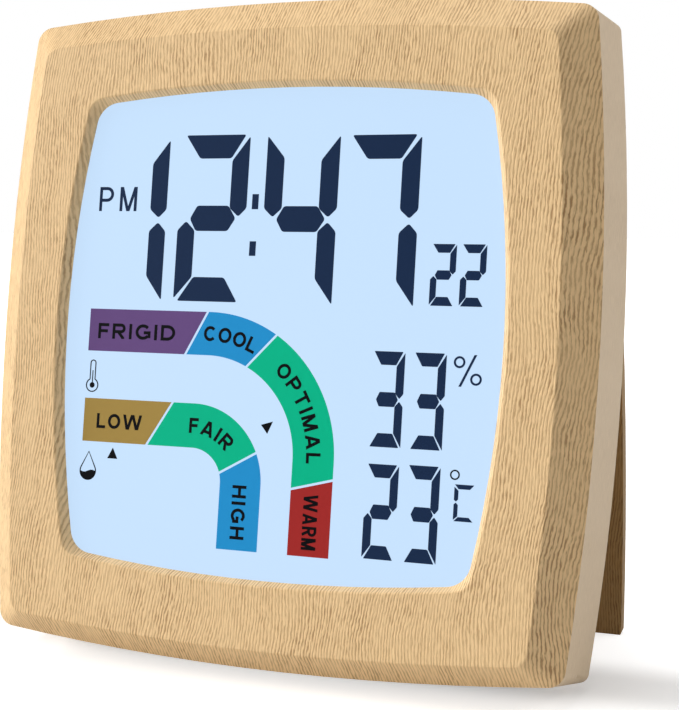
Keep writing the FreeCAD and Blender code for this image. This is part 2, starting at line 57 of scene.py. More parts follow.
class Nodes:
    """A node tree, with short ways to add to it."""

    def __init__(self, tree):
        self.tree = tree

    def node(self, kind, **values):
        made = self.tree.nodes.new(kind)
        for key, value in values.items():
            setattr(made, key, value)
        return made

    def link(self, a, b):
        self.tree.links.new(a, b)

    def feed(self, socket, value):
        """Link an output to a socket, or set the socket to a plain value."""
        if hasattr(value, "is_output"):
            self.link(value, socket)
        else:
            socket.default_value = value

    def parts(self, vector):
        """The X, Y and Z of a vector."""
        made = self.node("ShaderNodeSeparateXYZ")
        self.link(vector, made.inputs[0])
        return made.outputs

    def math(self, operation, a, b=0.0, c=0.0):
        made = self.node("ShaderNodeMath", operation=operation)
        for socket, value in zip(made.inputs, (a, b, c)):
            self.feed(socket, value)
        return made.outputs[0]

    def smooth(self, value, start, end, low, high):
        """A smooth change from low to high while the value runs from start to end."""
        made = self.node("ShaderNodeMapRange", interpolation_type="SMOOTHSTEP")
        for name, number in (("From Min", start), ("From Max", end), ("To Min", low), ("To Max", high)):
            made.inputs[name].default_value = number
        self.link(value, made.inputs["Value"])
        return made.outputs["Result"]


class Shader(Nodes):
    """A material with its Principled shader."""

    def __init__(self, name, roughness=0.5, metallic=0.0, specular=0.5):
        self.material = bpy.data.materials.new(name)
        self.material.use_nodes = True
        super().__init__(self.material.node_tree)
        self.main = next(n for n in self.tree.nodes if n.type == "BSDF_PRINCIPLED")
        self.main.inputs["Roughness"].default_value = roughness
        self.main.inputs["Metallic"].default_value = metallic
        self.main.inputs["Specular IOR Level"].default_value = specular

    def coords(self, scale=(1.0, 1.0, 1.0)):
        """Object coordinates turned upright with the case, and stretched."""
        where = self.node("ShaderNodeTexCoord")
        upright = self.node("ShaderNodeMapping")
        upright.inputs["Rotation"].default_value = (LEAN, 0, 0)
        self.link(where.outputs["Object"], upright.inputs["Vector"])
        stretch = self.node("ShaderNodeMapping")
        stretch.inputs["Scale"].default_value = scale
        self.link(upright.outputs["Vector"], stretch.inputs["Vector"])
        return stretch.outputs["Vector"]

    def noise(self, vector, scale, detail=2.0, roughness=0.5):
        made = self.node("ShaderNodeTexNoise")
        made.inputs["Scale"].default_value = scale
        made.inputs["Detail"].default_value = detail
        made.inputs["Roughness"].default_value = roughness
        self.link(vector, made.inputs["Vector"])
        return made.outputs["Fac"]

    def ramp(self, value, stops):
        made = self.node("ShaderNodeValToRGB")
        while len(made.color_ramp.elements) < len(stops):
            made.color_ramp.elements.new(0.5)
        for element, (at, colour) in zip(made.color_ramp.elements, stops):
            element.position = at
            element.color = colour
        self.link(value, made.inputs["Fac"])
        return made.outputs["Color"]

    def mix(self, factor, a, b):
        made = self.node("ShaderNodeMix", data_type="RGBA")
        self.feed(made.inputs["Factor"], factor)
        self.feed(made.inputs["A"], a)
        self.feed(made.inputs["B"], b)
        return made.outputs["Result"]

    def bump(self, height, strength, distance):
        made = self.node("ShaderNodeBump")
        made.inputs["Strength"].default_value = strength
        made.inputs["Distance"].default_value = distance
        self.link(height, made.inputs["Height"])
        self.link(made.outputs["Normal"], self.main.inputs["Normal"])

    def colour(self, value):
        self.feed(self.main.inputs["Base Color"], value)

    def rough(self, texture, amount, base):
        """Roughness that follows a texture."""
        level = self.math("ADD", self.math("MULTIPLY", texture, amount), base)
        self.link(level, self.main.inputs["Roughness"])


def grey(value):
    return (value, value, value, 1.0)


def shade_of(colour, factor):
    """A colour made darker or lighter, up to full brightness."""
    return tuple(min(1.0, c * factor) for c in colour[:3]) + (1.0,)


def signed(s, vector, size):
    """Noise between about -size and +size."""
    return s.math("MULTIPLY", s.math("SUBTRACT", s.noise(vector, 1.0, 2.0), 0.5), 3.0 * size)


LINE_PITCH = 0.00056     # metres
LINE_SLANT = -0.05       # metres across for each metre up
# How the lines wander: the noise's scale along x and z, and the shift in metres
SLOW_WANDER = (((22.0, 0.0, 15.0), 0.0034), ((60.0, 0.0, 40.0), 0.0010))
QUICK_WANDER = (((340.0, 0.0, 200.0), 0.00014), ((900.0, 0.0, 900.0), 0.00007))
RIPPLE = ((2500.0, 0.0, 520.0), 1.9)    # small shifts of the even lines, in radians
FINE_ACROSS = 3.1        # cells of the fine noise in one pitch
FINE_ALONG = 560.0       # and in one metre up the case
EVEN_SHARE = 0.30        # how much of the height the even lines make


def grain(s, wave=1.0, across=0.0):
    """The height, 0 to 1, of fine combed lines that run up the case."""
    where = s.parts(s.coords())
    run = s.math("ADD", where["X"], s.math("MULTIPLY", where["Y"], across))
    run = s.math("ADD", run, s.math("MULTIPLY", where["Z"], LINE_SLANT))
    for vector, size in SLOW_WANDER:
        run = s.math("ADD", run, signed(s, s.coords(vector), size))
    for vector, size in QUICK_WANDER:
        run = s.math("ADD", run, signed(s, s.coords(vector), size * wave))
    angle = s.math("MULTIPLY", run, 2 * math.pi / LINE_PITCH)
    angle = s.math("ADD", angle, signed(s, s.coords(RIPPLE[0]), RIPPLE[1]))
    even = s.math("MULTIPLY_ADD", s.math("SINE", angle), 0.5, 0.5)
    combed = s.node("ShaderNodeCombineXYZ")
    s.link(s.math("MULTIPLY", run, FINE_ACROSS / LINE_PITCH), combed.inputs["X"])
    s.link(s.math("MULTIPLY", where["Z"], FINE_ALONG), combed.inputs["Z"])
    fine = s.noise(combed.outputs[0], 1.0)
    return s.math("ADD", s.math("MULTIPLY", even, EVEN_SHARE), s.math("MULTIPLY", fine, 1 - EVEN_SHARE))


def side_faces(s):
    """1 on faces that look left or right, 0 elsewhere."""
    normal = s.parts(s.node("ShaderNodeNewGeometry").outputs["True Normal"])
    return s.math("GREATER_THAN", s.math("ABSOLUTE", normal["X"]), 0.7)


def right_chamfer(s):
    """1 on the outer slope at the right of the case, 0 elsewhere: where the wood gets wavier lines and
    painted shade.
    """
    where = s.node("ShaderNodeNewGeometry")
    normal = s.parts(where.outputs["True Normal"])
    place = s.parts(where.outputs["Position"])
    slope = s.ramp(normal["X"], [(0.35, grey(0.0)), (0.50, grey(1.0))])
    return s.math("MULTIPLY", slope, s.math("GREATER_THAN", place["X"], 0.0))


def wood(name, light, dark, relief=1.0, ink_level=1.0, across=0.0, wavy_shaded_side=False, edge_lines=False):
    """Embossed wood-look film: fine combed lines on a softly streaked ground; on request wavier lines
    on the right chamfer, with painted shade there.
    """
    s = Shader(name, specular=0.25)
    if edge_lines:
        across = side_faces(s)
    lines = grain(s, across=across)
    depth = 0.72 * ink_level
    if wavy_shaded_side:
        side = right_chamfer(s)
        lines = s.mix(side, lines, grain(s, wave=1.3))
        # Painted shade: the grooves on the right chamfer are inked darker than on the rest of the
        # frame.
        depth = s.math("ADD", depth, s.math("MULTIPLY", side, 0.06))
    groove = s.ramp(lines, [(0.35, grey(1.0)), (0.49, grey(0.0))])
    crest = s.ramp(lines, [(0.51, grey(0.0)), (0.65, grey(1.0))])
    patches = s.noise(s.coords((170.0, 0.0, 70.0)), 1.0, 3.0, 0.6)
    fade = s.ramp(patches, [(0.36, grey(0.35)), (0.62, grey(1.0))])
    streaks = s.noise(s.coords((420.0, 0.0, 16.0)), 1.0, 2.0, 0.6)
    middle = tuple((a + b) / 2 for a, b in zip(light, dark))
    ground = s.mix(s.math("MULTIPLY", streaks, 0.30), light, middle)
    shade = s.math("MULTIPLY", s.math("MULTIPLY", groove, fade), depth)
    inked = s.mix(shade, ground, dark)
    s.colour(s.mix(s.math("MULTIPLY", crest, 0.5 * ink_level), inked, shade_of(light, 1.15)))
    s.bump(lines, 0.55 * relief, 0.00018)
    s.rough(lines, 0.2, 0.45)
    return s.material


def plastic(name, colour, roughness, speck=0.10):
    """Moulded plastic with a fine spark-eroded texture and slight uneven tone."""
    s = Shader(name, specular=0.4)
    cloud = s.noise(s.coords(), 60.0, 3.0)
    s.colour(s.mix(cloud, colour, shade_of(colour, 1 - speck)))
    texture = s.noise(s.coords(), 1800.0, 2.0, 0.6)
    s.bump(texture, 0.3, 0.00003)
    s.rough(texture, 0.2, roughness - 0.1)
    return s.material


def metal(name, colour, roughness=0.3):
    """Brushed or turned metal."""
    s = Shader(name, metallic=1.0)
    streak = s.noise(s.coords((300.0, 4000.0, 300.0)), 1.0, 3.0, 0.6)
    s.colour(s.mix(streak, colour, shade_of(colour, 0.75)))
    s.rough(streak, 0.3, roughness - 0.1)
    s.bump(streak, 0.15, 0.00002)
    return s.material


PRINT_SCREEN = 2600.0


def lit_film(name, colour):
    """The backlit face of the display: an even glow with a faint cloudiness, under a satin film."""
    s = Shader(name, roughness=0.45, specular=0.1)
    cloud = s.noise(s.coords(), 30.0)
    s.colour(shade_of(colour, 0.12))
    s.link(s.mix(cloud, colour, shade_of(colour, 0.985)), s.main.inputs["Emission Color"])
    s.main.inputs["Emission Strength"].default_value = 0.90
    s.bump(s.noise(s.coords(), PRINT_SCREEN, 1.0), 0.05, 0.00001)
    return s.material


def ink(name, colour):
    """A printed area: even colour, with the faint screen of its print."""
    s = Shader(name, specular=0.06)
    screen = s.noise(s.coords(), PRINT_SCREEN, 1.0)
    dark = shade_of(colour, 0.93)
    toned = s.mix(s.noise(s.coords(), 45.0), colour, dark)
    s.colour(s.mix(s.math("MULTIPLY", screen, 0.5), toned, dark))
    s.bump(screen, 0.05, 0.00001)
    return s.material


mat_frame = wood("wood_front", srgb(238, 203, 152), srgb(150, 108, 62), wavy_shaded_side=True)
# Painted shade: the stand's wood is coloured much darker than the frame's, standing in for the shade
# the case casts on it.
mat_stand_shaded = wood("wood_stand", srgb(166, 132, 84), srgb(106, 74, 38), relief=0.8, edge_lines=True)
mat_side = wood("wood_side", srgb(226, 203, 172), srgb(186, 158, 122), relief=0.35, ink_level=0.8,
                across=1.0)
mat_film = lit_film("display_face", srgb(200, 227, 255))
mat_digit = ink("digit_print", srgb(26, 46, 78))
mat_black = ink("lettering", srgb(6, 7, 12))
mat_purple = ink("band_purple", srgb(107, 79, 133))
mat_blue = ink("band_blue", srgb(36, 150, 214))
mat_green = ink("band_green", srgb(0, 190, 143))
mat_red = ink("band_red", srgb(169, 45, 43))
mat_brown = ink("band_brown", srgb(170, 141, 74))

paints = {
    "front_frame": mat_frame,
    "rear_housing": mat_side,
    "battery_door": mat_side,
    "stand_panel": mat_stand_shaded,
    "lcd_front_film": mat_film,
    "lcd_front_glass": plastic("glass_edge", srgb(205, 225, 225), 0.15),
    "lcd_rear_glass": plastic("glass_edge_rear", srgb(200, 220, 220), 0.15),
    "lcd_rear_film": plastic("rear_film", srgb(205, 208, 210), 0.4),
    "light_guide": plastic("acrylic", srgb(235, 240, 243), 0.12),
    "reflector_film": plastic("reflector", srgb(238, 238, 238), 0.25),
    "backlight_leds": plastic("led_body", srgb(245, 240, 205), 0.3),
    "led_strip": plastic("led_strip", srgb(235, 235, 232), 0.5),
    "lcd_holder": plastic("holder_white", srgb(225, 224, 219), 0.5),
    "zebra_strip": plastic("zebra_rubber", srgb(196, 140, 146), 0.7),
    "main_board": plastic("board_green", srgb(28, 96, 58), 0.35, speck=0.3),
    "controller_blob": plastic("epoxy_black", srgb(22, 22, 24), 0.35),
    "buzzer": plastic("buzzer_black", srgb(28, 28, 30), 0.5),
    "climate_sensor": plastic("sensor_white", srgb(222, 222, 220), 0.5),
    "key_switches": plastic("switch_black", srgb(30, 30, 32), 0.5),
    "battery_upper": plastic("cell_jacket", srgb(96, 102, 112), 0.35),
    "battery_lower": plastic("cell_jacket_lower", srgb(96, 102, 112), 0.35),
    "clock_crystal": metal("crystal_can", srgb(190, 190, 188)),
    "battery_contacts": metal("nickel_contacts", srgb(205, 200, 188)),
    "contact_bridge": metal("nickel_bridge", srgb(205, 200, 188)),
    "hinge_pins": metal("pin_steel", srgb(180, 180, 182), 0.25),
    "holder_screws": metal("screw_zinc", srgb(190, 190, 192)),
    "board_screws": metal("board_screw_zinc", srgb(190, 190, 192)),
    "case_screws": metal("case_screw_zinc", srgb(170, 170, 172)),
}
for key in ("button_mode", "button_up", "button_down", "button_unit"):
    paints[key] = plastic(key + "_plastic", srgb(176, 150, 116), 0.5)
for name, material in paints.items():
    piece = nodes[name]
    if not piece.material_slots:
        piece.data.materials.append(material)
    for place in piece.material_slots:
        place.material = material


# The display: everything lies on the film, a hair in front of it

FILM_Y = 1.9             # depth of the film behind the face plane
FILM_X = 0.14            # how far the layout sits to the right of the case's middle
INK_BACK = 0.001
INK_FRONT = 0.05
BAND_FRONT = 0.03
WORD_FRONT = 0.045
STROKE_STEP = 0.0004     # so that crossing strokes don't share a front


def add_piece(name, mesh, material):
    piece = bpy.data.objects.new(name, mesh)
    bpy.context.scene.collection.objects.link(piece)
    mesh.materials.append(material)
    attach(piece, "case")
    return piece


def on_film(x, z, front):
    """A point of the display layout, a little in front of the film."""
    return local(x + FILM_X, FILM_Y - front, z)


def extrude_outlines(name, outlines, material, front=INK_FRONT, rounding=0.0, step=0.0):
    """Thin raised shapes from outlines in display mm. Each next outline can stand a step higher."""
    bm = bmesh.new()
    for index, outline in enumerate(outlines):
        points = rounded(outline, rounding) if rounding else outline
        if area(points) < 0:
            points = points[::-1]
        level = front + step * index
        low = [bm.verts.new(on_film(x, z, INK_BACK)) for x, z in points]
        high = [bm.verts.new(on_film(x, z, level)) for x, z in points]
        bm.faces.new(high)
        bm.faces.new(low[::-1])
        count = len(points)
        for i in range(count):
            j = (i + 1) % count
            bm.faces.new((low[i], low[j], high[j], high[i]))
    bmesh.ops.remove_doubles(bm, verts=bm.verts, dist=1e-8)
    inner = shared_walls(bm)
    bmesh.ops.delete(bm, geom=inner, context="FACES")
    bmesh.ops.triangulate(bm, faces=[f for f in bm.faces if len(f.verts) > 4])
    mesh = bpy.data.meshes.new(name)
    bm.to_mesh(mesh)
    bm.free()
    return add_piece(name, mesh, material)


def shared_walls(bm):
    """Both copies of each wall where two neighbouring shapes touch."""
    by_corners = {}
    for face in bm.faces:
        by_corners.setdefault(frozenset(v.index for v in face.verts), []).append(face)
    return [face for faces in by_corners.values() if len(faces) > 1 for face in faces]


def area(points):
    """The area of an outline, below zero if it runs clockwise."""
    total = 0.0
    for (x0, z0), (x1, z1) in zip(points, points[1:] + points[:1]):
        total += x0 * z1 - x1 * z0
    return total / 2


def rounded(points, radius):
    """The outline with each corner cut by a small arc."""
    out = []
    count = len(points)
    for i in range(count):
        here = Vector(points[i])
        before = Vector(points[i - 1]) - here
        after = Vector(points[(i + 1) % count]) - here
        cut = min(radius, before.length * 0.4, after.length * 0.4)
        start = here + before.normalized() * cut
        end = here + after.normalized() * cut
        for k in range(5):
            t = k / 4
            p = start * (1 - t) ** 2 + here * 2 * t * (1 - t) + end * t ** 2
            out.append((p.x, p.y))
    return out


def ring(cx, cz, outer, inner, steps=40):
    """A ring as a band of small quads."""
    quads = []
    for i in range(steps):
        a = 2 * math.pi * i / steps
        b = 2 * math.pi * (i + 1) / steps
        quads.append([(cx + outer * math.cos(a), cz + outer * math.sin(a)),
                      (cx + outer * math.cos(b), cz + outer * math.sin(b)),
                      (cx + inner * math.cos(b), cz + inner * math.sin(b)),
                      (cx + inner * math.cos(a), cz + inner * math.sin(a))])
    return quads


# Seven-segment digits
CELL_WIDTH = 13.0
CELL_HEIGHT = 28.9
SEGMENTS = {
    "a": [(0.7, 28.9), (12.2, 28.9), (9.6, 24.8), (3.6, 24.8)],
    "b": [(13.0, 28.6), (9.8, 24.4), (9.8, 16.2), (11.5, 14.7), (13.0, 16.2)],
    "c": [(11.5, 13.9), (9.8, 12.3), (9.8, 4.3), (13.0, 0.0), (13.0, 12.3)],
    "d": [(3.6, 4.2), (9.5, 4.2), (12.2, 0.0), (0.7, 0.0)],
    "e": [(1.6, 13.9), (0.0, 12.3), (0.0, 0.4), (3.3, 4.2), (3.3, 12.3)],
    "f": [(0.0, 28.7), (3.2, 24.9), (3.2, 16.2), (1.6, 14.7), (0.0, 16.2)],
    "g": [(2.3, 14.3), (3.6, 16.6), (9.6, 16.6), (11.0, 14.4), (9.6, 12.2), (3.5, 12.2)],
}
LIT = {"1": "bc", "2": "abged", "3": "abgcd", "4": "fgbc", "7": "abc"}


def digit(char, x, z, width, height):
    """The lit segments of a digit, with the lower left corner of its cell at x, z."""
    wide, high = width / CELL_WIDTH, height / CELL_HEIGHT
    return [[(x + px * wide, z + pz * high) for px, pz in SEGMENTS[name]] for name in LIT[char]]


time_digits = digit("1", -35.0, 4.7, 13.0, 28.4)
time_digits += digit("2", -19.6, 4.7, 13.0, 28.9)
time_digits += digit("4", -3.3, 4.7, 13.4, 28.8)
time_digits += digit("7", 11.5, 4.7, 13.0, 28.5)
extrude_outlines("time_digits", time_digits, mat_digit, rounding=0.45)
extrude_outlines("time_colon", [
    [(-5.6, 20.7), (-4.4, 20.7), (-4.4, 23.3), (-5.6, 23.3)],
    [(-5.6, 12.7), (-4.4, 12.7), (-4.4, 15.2), (-5.6, 15.2)],
], mat_digit)
seconds = digit("2", 27.2, 5.0, 4.3, 10.1) + digit("2", 32.3, 5.0, 4.3, 10.1)
extrude_outlines("seconds_digits", seconds, mat_digit, rounding=0.1)
humidity = digit("3", 18.0, -18.4, 5.7, 15.7) + digit("3", 25.1, -18.4, 5.7, 15.7)
extrude_outlines("humidity_digits", humidity, mat_digit, rounding=0.15)
temperature = digit("2", 18.0, -36.7, 5.7, 15.5) + digit("3", 25.1, -36.7, 5.7, 15.7)
extrude_outlines("temperature_digits", temperature, mat_digit, rounding=0.15)
unit_c = [
    [(33.35, -23.6), (36.6, -23.6), (35.9, -24.35), (34.0, -24.35)],
    [(33.3, -24.0), (34.0, -24.6), (34.0, -26.0), (33.65, -26.35), (33.3, -26.1)],
    [(33.65, -26.5), (34.0, -26.9), (34.0, -28.7), (33.3, -29.3), (33.3, -26.8)],
    [(34.1, -28.8), (35.9, -28.8), (36.6, -29.5), (33.4, -29.5)],
]
extrude_outlines("unit_segments", unit_c, mat_digit, rounding=0.05)
extrude_outlines("degree_ring", ring(33.25, -22.1, 0.83, 0.58), mat_black)


# Coloured scale bands: a straight run, a quarter turn and a run down

class Band:
    """A bent band: along the top to the turn's centre line, round, and down."""

    def __init__(self, left, top, right, thickness, radius, bottom):
        self.left, self.bottom = left, bottom
        self.thickness, self.radius = thickness, radius
        self.cx = right - radius
        self.cz = top - radius

    def edge(self, inset):
        """One long edge, from the left end round to the lower end."""
        steps = 48
        r = self.radius - inset
        points = [(self.left, self.cz + r)]
        for i in range(steps + 1):
            a = math.pi / 2 * (1 - i / steps)
            points.append((self.cx + r * math.cos(a), self.cz + r * math.sin(a)))
        points.append((self.cx + r, self.bottom))
        return points

    def middle(self):
        """The radius of the turn's centre line."""
        return self.radius - self.thickness / 2


def side_of(point, line):
    """Above zero to the left of a line, below zero to its right."""
    (x0, z0), (x1, z1) = line
    return (x1 - x0) * (point[1] - z0) - (z1 - z0) * (point[0] - x0)


def clip(points, line, keep):
    """The part of an outline on one side of a line."""
    out = []
    count = len(points)
    for i in range(count):
        a, b = points[i], points[(i + 1) % count]
        da, db = keep * side_of(a, line), keep * side_of(b, line)
        if da >= 0:
            out.append(a)
        if (da > 0 and db < 0) or (da < 0 and db > 0):
            t = da / (da - db)
            out.append((a[0] + (b[0] - a[0]) * t, a[1] + (b[1] - a[1]) * t))
    return out


def shifted(line, amount):
    """The line moved to its left."""
    (x0, z0), (x1, z1) = line
    length = math.hypot(x1 - x0, z1 - z0)
    nx, nz = -(z1 - z0) / length, (x1 - x0) / length
    return ((x0 + nx * amount, z0 + nz * amount), (x1 + nx * amount, z1 + nz * amount))


HALF_GAP = 0.2


def band_pieces(band, cuts, materials, names):
    """The band cut into its coloured fields, with a narrow gap at each cut."""
    quads = list(zip(band.edge(0.0), band.edge(band.thickness)))
    for index, name in enumerate(names):
        shapes = []
        for (o0, i0), (o1, i1) in zip(quads, quads[1:]):
            shape = [o0, o1, i1, i0]
            if index > 0:
                shape = clip(shape, shifted(cuts[index - 1], -HALF_GAP), -1)
            if shape and index < len(cuts):
                shape = clip(shape, shifted(cuts[index], HALF_GAP), 1)
            if len(shape) > 2 and abs(area(shape)) > 1e-4:
                shapes.append(shape)
        extrude_outlines(name, shapes, materials[index], front=BAND_FRONT)


warm_band = Band(left=-35.85, top=2.92, right=12.2, thickness=7.45, radius=24.4, bottom=-37.3)
band_pieces(warm_band, [
    ((-16.6, -4.55), (-12.7, 2.92)),
    ((-4.5, -5.9), (0.55, -0.6)),
    ((4.75, -26.3), (12.2, -24.4)),
], [mat_purple, mat_blue, mat_green, mat_red],
    ["scale_frigid", "scale_cool", "scale_optimal", "scale_warm"])
damp_band = Band(left=-35.85, top=-12.9, right=-0.83, thickness=7.6, radius=13.3, bottom=-37.3)
band_pieces(damp_band, [
    ((-23.05, -20.5), (-18.4, -12.9)),
    ((-8.6, -24.4), (-2.0, -20.7)),
], [mat_brown, mat_green, mat_blue], ["scale_low", "scale_fair", "scale_high"])

# Pointers and icons
extrude_outlines("pointer_humidity", [[(-29.6, -21.4), (-30.6, -23.3), (-28.6, -23.3)]], mat_black)
extrude_outlines("pointer_temperature", [[(-1.4, -15.9), (0.75, -15.25), (-0.17, -17.35)]], mat_black)


ICON_LINE = 0.2


def outline_band(points):
    """A closed line of even width along an outline, as small quads."""
    count = len(points)
    offsets = []
    for i in range(count):
        before = Vector(points[i]) - Vector(points[i - 1])
        after = Vector(points[(i + 1) % count]) - Vector(points[i])
        way = (before.normalized() + after.normalized()).normalized()
        offsets.append(Vector((-way.y, way.x)) * ICON_LINE / 2)
    quads = []
    for i in range(count):
        j = (i + 1) % count
        a, b = Vector(points[i]), Vector(points[j])
        quads.append([tuple(a - offsets[i]), tuple(b - offsets[j]),
                      tuple(b + offsets[j]), tuple(a + offsets[i])])
    return quads


def thermometer_icon():
    """A bulb with a stem, and the liquid in it."""
    cx, cz = -34.6, -10.6
    stem_top = -6.7
    bulb, stem = 1.15, 0.5
    start = math.asin(stem / bulb)
    points = []
    for i in range(25):
        a = math.pi / 2 - start - (2 * math.pi - 2 * start) * i / 24
        points.append((cx + bulb * math.cos(a), cz + bulb * math.sin(a)))
    for i in range(9):
        a = math.pi - math.pi * i / 8
        points.append((cx + stem * math.cos(a), stem_top + stem * math.sin(a)))
    shapes = outline_band(points)
    turns = [math.pi * i / 10 for i in range(20)]
    shapes.append([(cx + 0.5 * math.cos(a), cz + 0.5 * math.sin(a)) for a in turns])
    shapes.append([(cx - 0.09, cz), (cx + 0.09, cz), (cx + 0.09, -8.0), (cx - 0.09, -8.0)])
    return shapes


def drop_icon():
    """A drop, half full."""
    cx, cz, r = -34.35, -25.7, 1.55
    inside = r - 0.05
    points = []
    for i in range(25):
        a = math.pi * 0.86 + math.pi * 1.28 * i / 24
        points.append((cx + r * math.cos(a), cz + r * math.sin(a)))
    points.append((cx, -22.3))
    shapes = outline_band(points)
    water = []
    for i in range(17):
        a = math.pi + math.pi * i / 16
        water.append((cx + inside * math.cos(a), cz + inside * math.sin(a)))
    for i in range(7):
        t = i / 6
        water.append((cx + inside * (1 - 2 * t), cz + 0.22 * math.sin(t * 2 * math.pi)))
    shapes.append(water)
    return shapes


extrude_outlines("icon_thermometer", thermometer_icon(), mat_black)
extrude_outlines("icon_drop", drop_icon(), mat_black)


# Lettering: plain capitals drawn with a broad pen, in units of the capital height

class Letters:
    """Capitals as pen strokes. The pen width and the letter width can be chosen."""

    def __init__(self, pen, width):
        self.pen = pen
        self.width = width

    def bowl(self, x0, z0, z1, right):
        """A bowl that leaves the stem, goes round and comes back."""
        radius = (z1 - z0) / 2
        middle = (z0 + z1) / 2
        turn = right - radius
        points = [(x0, z1), (turn, z1)]
        for i in range(1, 12):
            a = math.pi / 2 - math.pi * i / 12
            points.append((turn + radius * math.cos(a), middle + radius * math.sin(a)))
        return points + [(turn, z0), (x0, z0)]

    def oval(self, start, end, right):
        """Part of an upright oval, from one angle to another, in degrees."""
        steps = 28
        h = self.pen / 2
        rx = (right - self.pen) / 2
        points = []
        for i in range(steps + 1):
            a = math.radians(start + (end - start) * i / steps)
            points.append((h + rx + rx * math.cos(a), 0.5 + (0.5 - h) * math.sin(a)))
        return points

    def strokes(self, char):
        """The strokes of a letter and how wide it is. Slanted ones run past the lines, to be cut."""
        h = self.pen / 2
        w = self.width
        stem = [(h, 0), (h, 1)]
        top, bottom = 1 - h, h
        if char == "I":
            return [stem], self.pen
        if char == "L":
            return [stem, [(h, bottom), (0.82 * w, bottom)]], 0.82 * w
        if char == "F":
            return [stem, [(h, top), (0.82 * w, top)], [(h, 0.5), (0.74 * w, 0.5)]], 0.82 * w
        if char == "T":
            return [[(0, top), (w, top)], [(w / 2, 0), (w / 2, top)]], w
        if char == "H":
            return [stem, [(w - h, 0), (w - h, 1)], [(h, 0.52), (w - h, 0.52)]], w
        if char == "P":
            return [stem, self.bowl(h, 0.45, top, w - h)], w
        if char == "R":
            leg = [(0.45 * w, 0.47), (w - 0.55 * self.pen, 0.0)]
            return [stem, self.bowl(h, 0.47, top, w - h), leg], w
        if char == "D":
            side = 1.08 * w
            turn, reach = side * 0.45, side * 0.55 - h
            round_side = [(h, top), (turn, top)]
            for i in range(1, 14):
                a = math.pi / 2 - math.pi * i / 14
                round_side.append((turn + reach * math.cos(a), 0.5 + (0.5 - h) * math.sin(a)))
            return [stem, round_side + [(turn, bottom), (h, bottom)]], side
        if char == "O":
            side = 1.15 * w
            return [self.oval(90, 270, side), self.oval(270, 450, side)], side
        if char == "C":
            side = 1.12 * w
            return [self.oval(42, 318, side)], side
        if char == "G":
            side = 1.15 * w
            hook = [(0.55 * side, 0.46), (side - h, 0.46), (side - h, 0.12)]
            return [self.oval(42, 322, side), hook], side
        if char == "A":
            side = 1.15 * w
            return [[(h, -0.05), (side / 2, 1.05)], [(side - h, -0.05), (side / 2, 1.05)],
                    [(0.22 * side, 0.27), (0.78 * side, 0.27)]], side
        if char == "M":
            side = 1.2 * w
            return [stem, [(side - h, 0), (side - h, 1)],
                    [(h, 1.05), (side / 2, -0.02)], [(side - h, 1.05), (side / 2, -0.02)]], side
        side = 1.75 * w             # W
        q = side / 4
        return [[(h * 0.9, 1.05), (q, -0.05)], [(q, -0.05), (2 * q, 1.05)],
                [(2 * q, 1.05), (3 * q, -0.05)], [(3 * q, -0.05), (side - h * 0.9, 1.05)]], side


def stroke_outline(points, width):
    """The outline of an open line drawn with a pen, with mitred corners."""
    left, right = [], []
    count = len(points)
    for i in range(count):
        here = Vector(points[i])
        before = (here - Vector(points[i - 1])).normalized() if i > 0 else None
        after = (Vector(points[i + 1]) - here).normalized() if i < count - 1 else None
        way = ((before or after) + (after or before)).normalized()
        straight = after or before
        reach = width / 2 / max(0.4, way.dot(straight))
        side = Vector((-way.y, way.x)) * reach
        left.append(tuple(here + side))
        right.append(tuple(here - side))
    return left + right[::-1]


CAP_LINE = ((0, 1), (1, 1))
BASE_LINE = ((0, 0), (1, 0))


def word(name, text, along, height, font, gap, material=mat_black):
    """A word set along a path. The path gives a point and an angle for a distance from its middle."""
    drawn = [font.strokes(char) for char in text]
    total = sum(width for _, width in drawn) + gap * (len(text) - 1)
    shapes = []
    pen_at = -total / 2
    for strokes, width in drawn:
        x0, z0, angle = along((pen_at + width / 2) * height)
        turn = Matrix.Rotation(angle, 2)
        for points in strokes:
            outline = clip(clip(stroke_outline(points, font.pen), CAP_LINE, -1), BASE_LINE, 1)
            shape = []
            for x, z in outline:
                flat = turn @ Vector(((x - width / 2) * height, (z - 0.5) * height))
                shape.append((x0 + flat.x, z0 + flat.y))
            shapes.append(shape)
        pen_at += width + gap
    return extrude_outlines(name, shapes, material, front=WORD_FRONT, step=STROKE_STEP)


def straight(x, z):
    """Along a level line, from its middle."""
    return lambda s: (x + s, z, 0.0)


def downward(x, z):
    """Down a plumb line, from its middle."""
    return lambda s: (x, z - s, -math.pi / 2)


def round_bend(band, middle):
    """Along a band's middle line, centred on an angle in degrees."""
    def along(s):
        r = band.middle()
        a = math.radians(middle) - s / r
        return (band.cx + r * math.cos(a), band.cz + r * math.sin(a), a - math.pi / 2)
    return along


BOLD = Letters(pen=0.2, width=0.82)
WIDE = Letters(pen=0.2, width=0.95)
NARROW = Letters(pen=0.18, width=0.62)
THIN = Letters(pen=0.13, width=0.66)

word("word_pm", "PM", straight(-31.75, 22.45), 4.3, THIN, gap=0.3, material=mat_digit)
word("word_frigid", "FRIGID", straight(-26.4, -0.95), 2.7, WIDE, gap=0.28)
word("word_cool", "COOL", round_bend(warm_band, 78.5), 2.6, BOLD, gap=0.16)
word("word_optimal", "OPTIMAL", round_bend(warm_band, 24.0), 2.6, BOLD, gap=0.26)
word("word_warm", "WARM", downward(8.5, -31.6), 2.6, NARROW, gap=0.12)
word("word_low", "LOW", straight(-28.7, -16.8), 2.6, BOLD, gap=0.2)
word("word_fair", "FAIR", round_bend(damp_band, 68.0), 2.6, BOLD, gap=0.26)
word("word_high", "HIGH", downward(-4.7, -30.9), 2.6, BOLD, gap=0.24)


